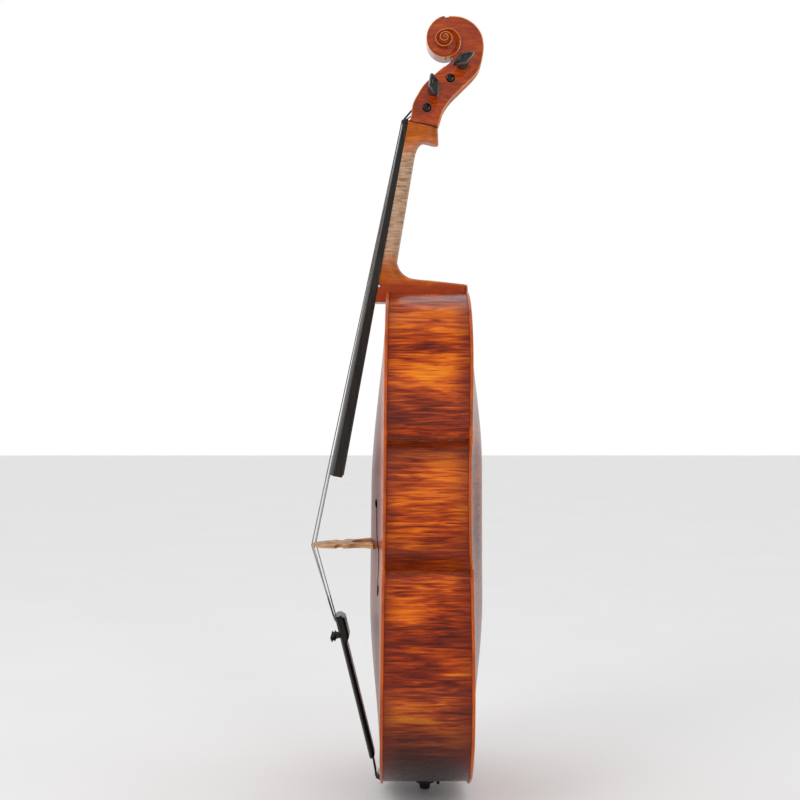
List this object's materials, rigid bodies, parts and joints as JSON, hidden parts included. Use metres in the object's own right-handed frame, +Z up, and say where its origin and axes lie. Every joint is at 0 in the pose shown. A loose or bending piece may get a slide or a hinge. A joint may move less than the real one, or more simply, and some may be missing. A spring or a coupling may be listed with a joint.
{
  "type": "cello",
  "caption": "Full-size cello with arched plates, flamed ribs, carved scroll, turning pegs, a tailpiece with built-in fine tuners and a retractable endpin.",
  "frame": {"origin": "middle of the flat underside of the endpin's foot, with the endpin pushed in", "axes": "+Z runs up the body to the scroll, -Y is the string side and +X is the treble side"},
  "size_m": [0.44, 0.2704, 1.215],
  "materials": {
    "varnished_maple": "gloss varnish over flamed maple",
    "varnished_spruce": "gloss varnish over spruce",
    "bare_maple": "oiled bare maple",
    "inner_wood": "bare spruce and willow",
    "ebony": "satin ebony",
    "composite": "satin black composite",
    "string_steel": "flat-wound steel",
    "black_metal": "blackened metal",
    "foot_rubber": "matt rubber"
  },
  "bodies": {
    "root": {"top_plate": "varnished_spruce", "back_plate": "varnished_maple", "scroll": "varnished_maple", "upper_rib_treble": "varnished_maple", "lining_upper_treble_front": "inner_wood", "lining_upper_treble_back": "inner_wood", "middle_rib_treble": "varnished_maple", "lining_middle_treble_front": "inner_wood", "lining_middle_treble_back": "inner_wood", "lower_rib_treble": "varnished_maple", "lining_lower_treble_front": "inner_wood", "lining_lower_treble_back": "inner_wood", "upper_corner_block_treble": "inner_wood", "lower_corner_block_treble": "inner_wood", "upper_rib_bass": "varnished_maple", "lining_upper_bass_front": "inner_wood", "lining_upper_bass_back": "inner_wood", "middle_rib_bass": "varnished_maple", "lining_middle_bass_front": "inner_wood", "lining_middle_bass_back": "inner_wood", "lower_rib_bass": "varnished_maple", "lining_lower_bass_front": "inner_wood", "lining_lower_bass_back": "inner_wood", "upper_corner_block_bass": "inner_wood", "lower_corner_block_bass": "inner_wood", "top_block": "inner_wood", "end_block": "inner_wood", "bass_bar": "inner_wood", "sound_post": "inner_wood", "neck": "bare_maple", "bridge": "bare_maple", "fingerboard": "ebony", "nut": "ebony", "saddle": "ebony", "endpin_collar": "ebony", "tailpiece": "composite", "tail_cord": "composite", "string_a": "string_steel", "string_c": "string_steel", "string_d": "string_steel", "string_g": "string_steel", "tuner_axle": "string_steel"},
    "peg_c": {"peg_c": "ebony"},
    "peg_g": {"peg_g": "ebony"},
    "peg_d": {"peg_d": "ebony"},
    "peg_a": {"peg_a": "ebony"},
    "tuner_screw_c": {"tuner_screw_c": "black_metal"},
    "tuner_lever_c": {"tuner_lever_c": "black_metal"},
    "tuner_screw_g": {"tuner_screw_g": "black_metal"},
    "tuner_lever_g": {"tuner_lever_g": "black_metal"},
    "tuner_screw_d": {"tuner_screw_d": "black_metal"},
    "tuner_lever_d": {"tuner_lever_d": "black_metal"},
    "tuner_screw_a": {"tuner_screw_a": "black_metal"},
    "tuner_lever_a": {"tuner_lever_a": "black_metal"},
    "endpin": {"endpin_rod": "black_metal", "endpin_foot": "foot_rubber"},
    "endpin_thumb_screw": {"endpin_thumb_screw": "black_metal"}
  },
  "joints": [
    {"name": "peg_c_turn", "type": "hinge", "parent": "root", "child": "peg_c", "pos_m": [0, 0.00294, 1.07078], "axis": [1, 0, 0], "continuous": true},
    {"name": "peg_g_turn", "type": "hinge", "parent": "root", "child": "peg_g", "pos_m": [0, 0.03994, 1.11758], "axis": [1, 0, 0], "continuous": true},
    {"name": "peg_d_turn", "type": "hinge", "parent": "root", "child": "peg_d", "pos_m": [0, 0.05854, 1.13878], "axis": [1, 0, 0], "continuous": true},
    {"name": "peg_a_turn", "type": "hinge", "parent": "root", "child": "peg_a", "pos_m": [0, 0.01324, 1.09758], "axis": [1, 0, 0], "continuous": true},
    {"name": "tuner_screw_c_turn", "type": "hinge", "parent": "root", "child": "tuner_screw_c", "pos_m": [-0.021, -0.13007, 0.24332], "axis": [0, -0.9711, -0.2385], "range_deg": [-1800, 0]},
    {"name": "tuner_lever_c_tilt", "type": "hinge", "parent": "root", "child": "tuner_lever_c", "pos_m": [-0.021, -0.12903, 0.26005], "axis": [1, 0, 0], "range_deg": [0, 6]},
    {"name": "tuner_screw_g_turn", "type": "hinge", "parent": "root", "child": "tuner_screw_g", "pos_m": [-0.007, -0.13007, 0.24332], "axis": [0, -0.9711, -0.2385], "range_deg": [-1800, 0]},
    {"name": "tuner_lever_g_tilt", "type": "hinge", "parent": "root", "child": "tuner_lever_g", "pos_m": [-0.007, -0.12903, 0.26005], "axis": [1, 0, 0], "range_deg": [0, 6]},
    {"name": "tuner_screw_d_turn", "type": "hinge", "parent": "root", "child": "tuner_screw_d", "pos_m": [0.007, -0.13007, 0.24332], "axis": [0, -0.9711, -0.2385], "range_deg": [-1800, 0]},
    {"name": "tuner_lever_d_tilt", "type": "hinge", "parent": "root", "child": "tuner_lever_d", "pos_m": [0.007, -0.12903, 0.26005], "axis": [1, 0, 0], "range_deg": [0, 6]},
    {"name": "tuner_screw_a_turn", "type": "hinge", "parent": "root", "child": "tuner_screw_a", "pos_m": [0.021, -0.13007, 0.24332], "axis": [0, -0.9711, -0.2385], "range_deg": [-1800, 0]},
    {"name": "tuner_lever_a_tilt", "type": "hinge", "parent": "root", "child": "tuner_lever_a", "pos_m": [0.021, -0.12903, 0.26005], "axis": [1, 0, 0], "range_deg": [0, 6]},
    {"name": "endpin_slide", "type": "slide", "parent": "root", "child": "endpin", "axis": [0, 0, -1], "range_m": [0, 0.36]},
    {"name": "thumb_screw_turn", "type": "hinge", "parent": "root", "child": "endpin_thumb_screw", "pos_m": [0, 0.0205, 0.0138], "axis": [0, 1, 0], "range_deg": [0, 1080]}
  ],
  "couplings": [
    {"joint": "tuner_lever_c_tilt", "follows": "tuner_screw_c_turn", "ratio": -0.0033},
    {"joint": "tuner_lever_g_tilt", "follows": "tuner_screw_g_turn", "ratio": -0.0033},
    {"joint": "tuner_lever_d_tilt", "follows": "tuner_screw_d_turn", "ratio": -0.0033},
    {"joint": "tuner_lever_a_tilt", "follows": "tuner_screw_a_turn", "ratio": -0.0033}
  ]
}
